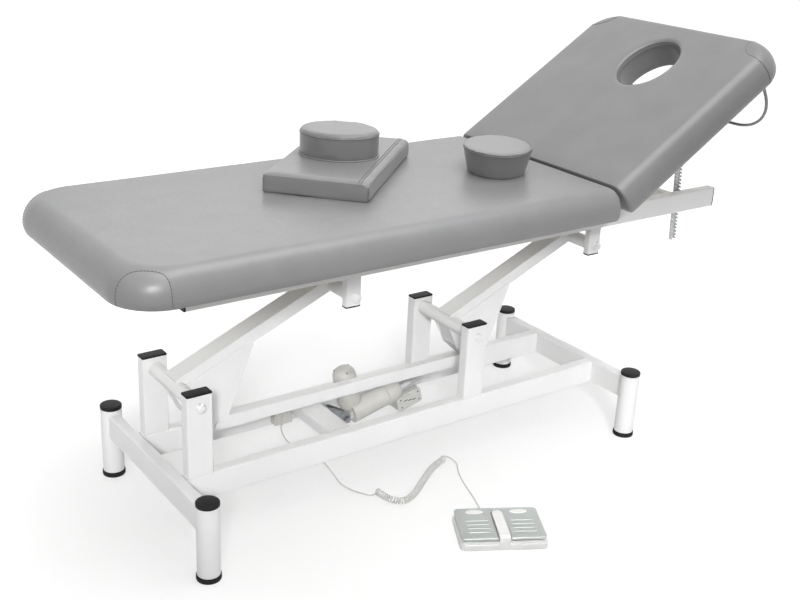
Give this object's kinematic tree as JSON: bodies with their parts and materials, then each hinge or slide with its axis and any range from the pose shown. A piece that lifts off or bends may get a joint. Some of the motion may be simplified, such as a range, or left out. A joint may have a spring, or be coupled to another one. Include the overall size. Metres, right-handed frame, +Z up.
{
  "type": "electric treatment table",
  "caption": "Electric treatment table: a lifting steel base, a padded flat section, a tilting head section with a face hole, loose cushions and a coiled-cord foot switch.",
  "frame": {"origin": "centre of the underside of the foot under the near foot-end leg, on the floor", "axes": "+X along the table from the foot end to the head end, +Y across it to the far side, +Z up"},
  "size_m": [1.8246, 0.8904, 1.0119],
  "materials": {
    "white_paint": "white powder coat, semi-gloss",
    "black_plastic": "moulded, fine grain",
    "bolt_zinc": "zinc plated",
    "grey_vinyl": "leatherette, fine grain, satin",
    "plywood": "raw plywood",
    "greige_plastic": "moulded, satin",
    "silver_tube": "drawn tube",
    "zinc_strut": "zinc plated",
    "chrome_wire": "polished",
    "silver_pedal": "satin silver",
    "white_plastic": "moulded, semi-gloss",
    "cord_grey": "smooth jacket"
  },
  "bodies": {
    "base": {"leg_foot_near": "white_paint", "leg_foot_far": "white_paint", "leg_head_near": "white_paint", "leg_head_far": "white_paint", "foot_foot_near": "black_plastic", "foot_foot_far": "black_plastic", "foot_head_near": "black_plastic", "foot_head_far": "black_plastic", "leg_cap_foot_near": "black_plastic", "leg_cap_foot_far": "black_plastic", "leg_cap_head_near": "black_plastic", "leg_cap_head_far": "black_plastic", "cross_rail_foot": "white_paint", "cross_rail_head": "white_paint", "long_rail_near": "white_paint", "long_rail_far": "white_paint", "cross_member": "white_paint", "upright_foot_near": "white_paint", "upright_foot_far": "white_paint", "upright_head_near": "white_paint", "upright_head_far": "white_paint", "lower_pivot_foot": "bolt_zinc", "lower_pivot_head": "bolt_zinc", "actuator_clevis": "white_paint", "junction_box": "greige_plastic", "switch_base": "white_plastic", "cord_lead_table": "cord_grey", "cord_coil": "cord_grey", "cord_lead_switch": "cord_grey"},
    "foot_arm": {"lift_arm_foot": "white_paint"},
    "head_arm": {"lift_arm_head": "white_paint"},
    "link": {"link_bar": "white_paint"},
    "actuator": {"gear_housing": "greige_plastic", "motor": "greige_plastic", "outer_tube": "silver_tube"},
    "rod": {"actuator_rod": "silver_tube"},
    "bed": {"bed_rail_near": "white_paint", "bed_rail_far": "white_paint", "bed_bar_foot": "white_paint", "bed_bar_head": "white_paint", "bed_bar_rest": "white_paint", "hanger_foot_near": "white_paint", "hanger_foot_far": "white_paint", "hanger_head_near": "white_paint", "hanger_head_far": "white_paint", "upper_pivot_foot": "bolt_zinc", "upper_pivot_head": "bolt_zinc", "foot_board": "plywood", "foot_cushion": "grey_vinyl", "hinge_rod": "bolt_zinc", "strut_guide": "zinc_strut"},
    "head": {"head_board": "plywood", "head_cushion": "grey_vinyl", "hinge_leaf": "bolt_zinc", "roll_holder": "chrome_wire"},
    "strut": {"ratchet_strut": "zinc_strut"},
    "left_pedal": {"pedal_left": "silver_pedal"},
    "right_pedal": {"pedal_right": "silver_pedal"},
    "loose_pillow": {"pillow": "grey_vinyl"},
    "loose_plug": {"face_plug": "grey_vinyl"}
  },
  "joints": [
    {"name": "lift", "type": "hinge", "parent": "base", "child": "foot_arm", "pos_m": [0.048, 0.251, 0.33], "axis": [0, -1, 0], "range_deg": [-20, 20]},
    {"name": "head_lift", "type": "hinge", "parent": "base", "child": "head_arm", "pos_m": [0.797, 0.251, 0.33], "axis": [0, -1, 0], "range_deg": [-20, 20]},
    {"name": "bed_level", "type": "hinge", "parent": "foot_arm", "child": "bed", "pos_m": [0.44002, 0.251, 0.49851], "axis": [0, -1, 0], "range_deg": [-20, 20]},
    {"name": "link_swing", "type": "hinge", "parent": "foot_arm", "child": "link", "pos_m": [0.13696, 0.251, 0.21901], "axis": [0, -1, 0], "range_deg": [-20, 20]},
    {"name": "actuator_swing", "type": "hinge", "parent": "base", "child": "actuator", "pos_m": [0.5023, 0.251, 0.1245], "axis": [0, -1, 0], "range_deg": [-3, 3]},
    {"name": "rod_slide", "type": "slide", "parent": "actuator", "child": "rod", "axis": [0.971, 0, 0.2392], "range_m": [-0.045, 0.045]},
    {"name": "head_tilt", "type": "hinge", "parent": "bed", "child": "head", "pos_m": [1.06702, 0.251, 0.67601], "axis": [0, -1, 0], "range_deg": [-31.5, 15]},
    {"name": "strut_swing", "type": "hinge", "parent": "head", "child": "strut", "pos_m": [1.39466, 0.251, 0.8246], "axis": [0, -1, 0], "range_deg": [-6.6, 13.7]},
    {"name": "left_pedal_press", "type": "hinge", "parent": "base", "child": "left_pedal", "pos_m": [0.6562, -0.14611, 0.0263], "axis": [0.8763, -0.4818, 0], "range_deg": [0, 2], "stiffness_Nm_per_rad": 2, "springref_deg": -5.73},
    {"name": "right_pedal_press", "type": "hinge", "parent": "base", "child": "right_pedal", "pos_m": [0.6562, -0.14611, 0.0263], "axis": [0.8763, -0.4818, 0], "range_deg": [0, 2], "stiffness_Nm_per_rad": 2, "springref_deg": -5.73},
    {"name": "pillow_lift", "type": "slide", "parent": "bed", "child": "loose_pillow", "axis": [0, 0, 1], "range_m": [0, 0.3]},
    {"name": "plug_lift", "type": "slide", "parent": "bed", "child": "loose_plug", "axis": [0, 0, 1], "range_m": [0, 0.3]}
  ],
  "couplings": [
    {"joint": "head_lift", "follows": "lift", "ratio": 1},
    {"joint": "bed_level", "follows": "lift", "ratio": -1},
    {"joint": "link_swing", "follows": "lift", "ratio": -1},
    {"joint": "actuator_swing", "follows": "lift", "ratio": 0.1475},
    {"joint": "rod_slide", "follows": "lift", "m_per_rad": 0.12805},
    {"joint": "strut_swing", "follows": "head_tilt", "ratio": -0.43}
  ]
}
